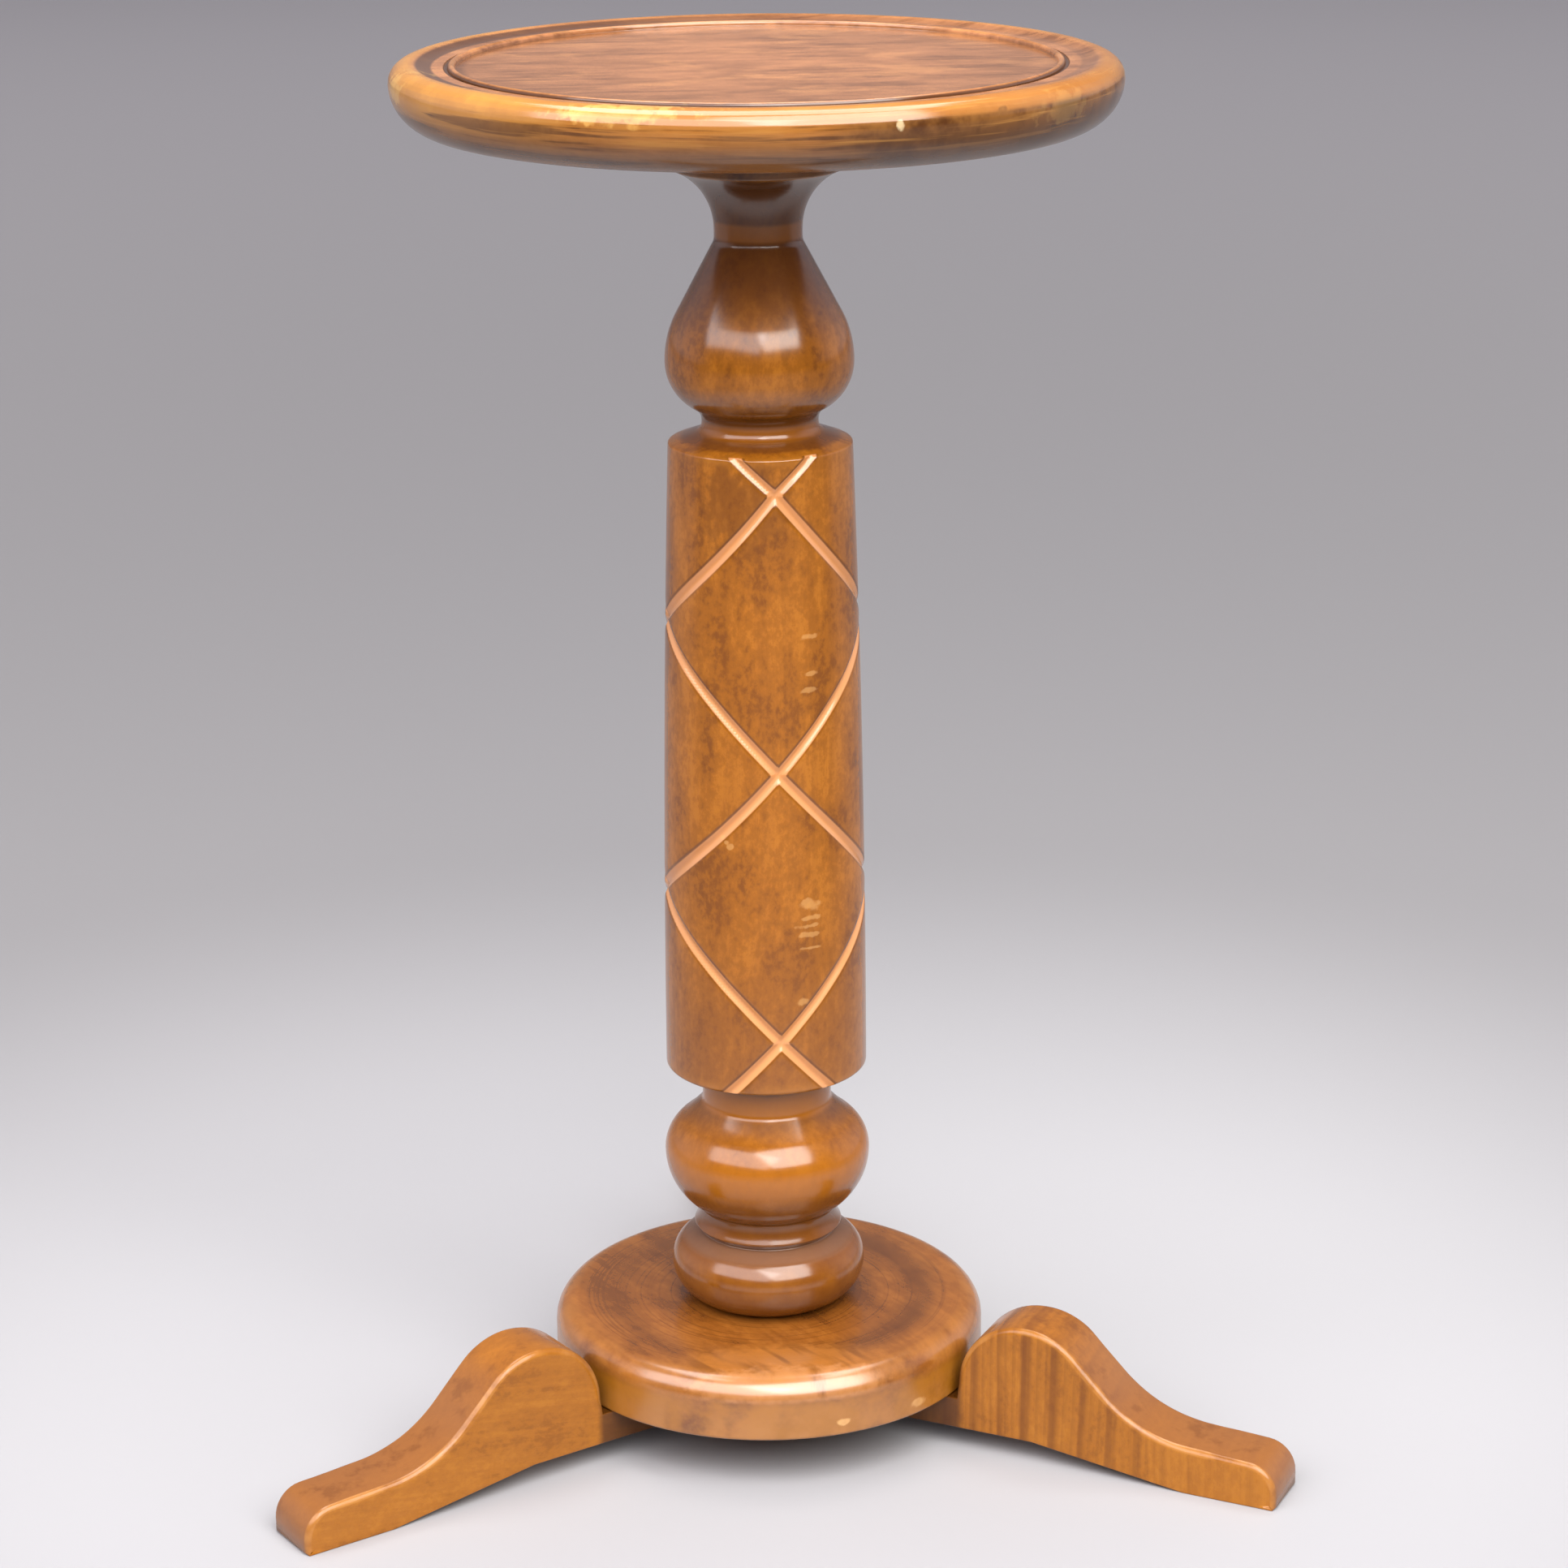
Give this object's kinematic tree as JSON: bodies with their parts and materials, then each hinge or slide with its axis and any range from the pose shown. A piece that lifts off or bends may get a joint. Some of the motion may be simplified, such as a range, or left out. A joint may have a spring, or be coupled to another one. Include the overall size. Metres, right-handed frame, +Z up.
{
  "type": "wine table",
  "caption": "Small round pedestal table with a dished bullnose top, a turned column carved with crossing spiral grooves, and a disc base on scrolled feet.",
  "frame": {"origin": "the column's axis on the floor", "axes": "+Z up along the column's axis, +Y towards the back foot, the other two feet to the front"},
  "size_m": [0.3676, 0.333, 0.5058],
  "materials": {
    "top_wood": "gloss varnish, worn rim",
    "column_wood": "gloss varnish, amber",
    "disc_wood": "gloss varnish, red-brown",
    "foot_wood": "gloss varnish, orange",
    "screw_steel": "dull"
  },
  "bodies": {
    "root": {"table_top": "top_wood", "column": "column_wood", "base_disc": "disc_wood", "foot_back": "foot_wood", "foot_left": "foot_wood", "foot_right": "foot_wood", "foot_screws": "screw_steel", "column_screw": "screw_steel", "column_washer": "screw_steel"}
  },
  "joints": []
}
